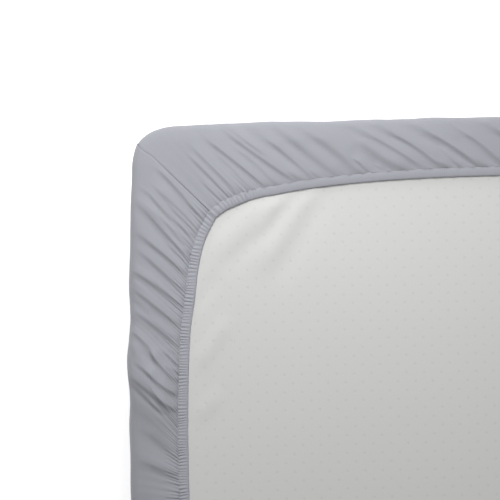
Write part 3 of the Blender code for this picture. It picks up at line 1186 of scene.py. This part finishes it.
def dots(tree, out):
    """1 in the middle of each dot, 0 between them."""
    cells = {"Location": DOT_START, "Rotation": (0, 0, DOT_TURN), "Scale": (1 / DOT_CELL,) * 3}
    turned = node(tree, "ShaderNodeMapping", {"Vector": out, **cells})
    cell = vector_math(tree, "FRACTION", turned.outputs["Vector"])
    centred = vector_math(tree, "SUBTRACT", cell, (0.5, 0.5, 0))
    flat = vector_math(tree, "MULTIPLY", centred, (1, 1, 0))
    return ranged(tree, vector_math(tree, "LENGTH", flat), *DOT_EDGE, "SMOOTHSTEP")


def ticking_finish():
    made, tree, shader = finish_of("ticking", TICKING_WHITE, TICKING)
    place = node(tree, "ShaderNodeTexCoord", {}).outputs["Object"]
    dot = dots(tree, place)
    warm = tuple(c * k for c, k in zip(TICKING_WHITE, TICKING_WARM))
    shade = mixed(tree, cloudy(tree, place, TICKING_CLOUDS), warm, TICKING_WHITE)
    shade = mixed(tree, dot, shade, times(DOT_DARK, TICKING_WHITE))
    join(tree, shade, shader.inputs["Base Color"])
    wales = bands(tree, place, WALE, "X", distortion=0.6)
    first = bumped(tree, shader, wales, strength=0.15, distance=0.1 * MM)
    inward = node(tree, "ShaderNodeMath", {0: 1, 1: dot}, operation="SUBTRACT")
    dented = inward.outputs[0]
    bumped(tree, shader, dented, strength=0.3, distance=0.3 * MM, before=first)
    return made


ticking = ticking_finish()

# %% [markdown]
# ## Finishes on the pieces
# Each piece gets its finish and is attached to the root body. The cloth, its casing and
# its stitches stand for the sheet; the pad stands for the mattress. The imported sheet and
# mattress are hidden.

# %%
for piece, finish, slot in (
    (sheet, sheet_cotton, "sheet_cotton"),
    (casing, casing_cotton_painted_lighter, "sheet_cotton"),
    (stitches, thread_cotton, "sheet_cotton"),
    (pad, ticking, "ticking"),
):
    piece.data.materials.append(finish)
    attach(piece, "root")
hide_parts("fitted_sheet")
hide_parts("mattress")

# %% [markdown]
# ## Floor and light
# A white table in a dim, even room. One soft light stands close by, behind the
# photograph's upper side. A second, larger and weaker one reaches the far end.

# %%
TABLE_WHITE = (0.92, 0.92, 0.92)
TABLE = {"Roughness": 0.6, "Emission Color": (1, 1, 1, 1), "Emission Strength": 0.55}
ROOM_GLOW = 0.265

bpy.ops.mesh.primitive_plane_add(size=16, location=(0, 0, -0.2 * MM))
floor = bpy.context.object
floor.name = "floor"
white = finish_of("white table", TABLE_WHITE, TABLE)[0]
floor.data.materials.append(white)


def soft_light(name, place, aim, size, power):
    data = bpy.data.lights.new(name, "AREA")
    data.shape = "DISK"
    data.size = size
    data.energy = power
    made = added(name, data)
    made.location = place
    made.rotation_euler = (Vector(aim) - Vector(place)).to_track_quat("-Z", "Y").to_euler()


soft_light("window", place=(-0.93, 0.95, 1.02), aim=(-0.85, 0.3, 0.2), size=0.54, power=10.3)
soft_light("far lamp", place=(0.9, -0.9, 1.9), aim=(0.4, 0, 0.1), size=1.2, power=5)
world = bpy.data.worlds.new("room")
bpy.context.scene.world = world
world.use_nodes = True
room = world.node_tree.nodes["Background"]
room.inputs["Color"].default_value = (1, 1, 1, 1)
room.inputs["Strength"].default_value = ROOM_GLOW

# %% [markdown]
# ## Camera
# It looks almost straight down at one corner from two metres, and stands a little left
# of and below the place it aims at, as for the photograph.

# %%
AIM = Vector((-0.8633, 0.2992, 0.186))
DISTANCE = 2.0
LEANS = (-radians(2.3), -radians(3.9))  # to the left, and down
ROLL = radians(1.1)
camera_data = bpy.data.cameras.new("camera")
camera_data.lens = 120
camera_data.sensor_width = 36  # millimetres, like the lens
camera = added("camera", camera_data)
back = Vector((sin(LEANS[0]), sin(LEANS[1]), 1)).normalized()
up = Vector((sin(ROLL), cos(ROLL), 0))
right = up.cross(back).normalized()
up = back.cross(right)
camera.matrix_world = Matrix.Translation(AIM + back * DISTANCE) @ Matrix(
    (right, up, back)
).transposed().to_4x4()
bpy.context.scene.camera = camera
bpy.context.scene.view_settings.view_transform = "Standard"
bpy.context.scene.view_settings.look = "None"
